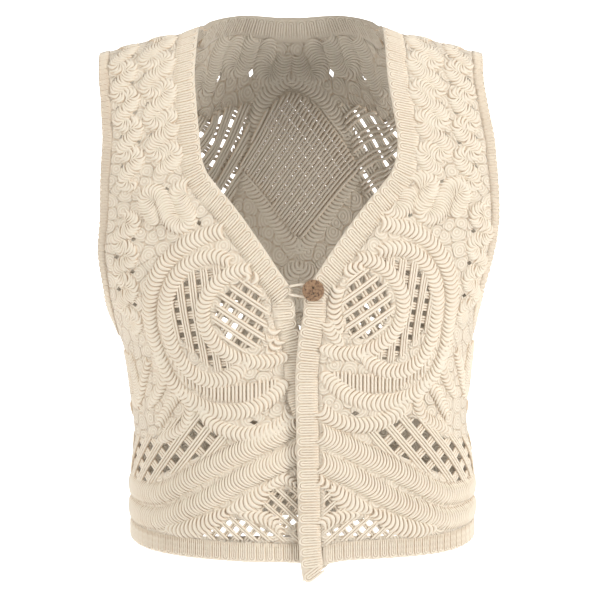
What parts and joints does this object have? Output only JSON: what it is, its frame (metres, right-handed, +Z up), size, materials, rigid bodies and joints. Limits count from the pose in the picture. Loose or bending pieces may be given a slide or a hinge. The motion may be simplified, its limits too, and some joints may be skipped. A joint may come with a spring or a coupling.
{
  "type": "knitted waistcoat",
  "caption": "Sleeveless V-neck waistcoat in heavy corded tape lace with ribbed bands, buttoned at the bust, hollow as worn.",
  "frame": {"origin": "midway between the two points where the shoulder seams meet the neck, where the wearer holds it up", "axes": "+Z up the body, the front faces -Y, the wearer's left side is at +X"},
  "size_m": [0.3627, 0.2104, 0.5055],
  "materials": {
    "lace": "matt cotton cord",
    "band": "matt ribbed cotton cord",
    "cord": "matt cotton cord",
    "button": "satin coconut shell"
  },
  "bodies": {
    "root": {"left_front": "lace", "right_front": "lace", "back": "lace", "left_front_band": "band", "right_front_band": "band", "back_neck_band": "band", "left_armhole_band": "band", "right_armhole_band": "band", "left_hem_band": "band", "right_hem_band": "band", "back_hem_band": "band", "button": "button", "button_loop": "cord"}
  },
  "joints": []
}
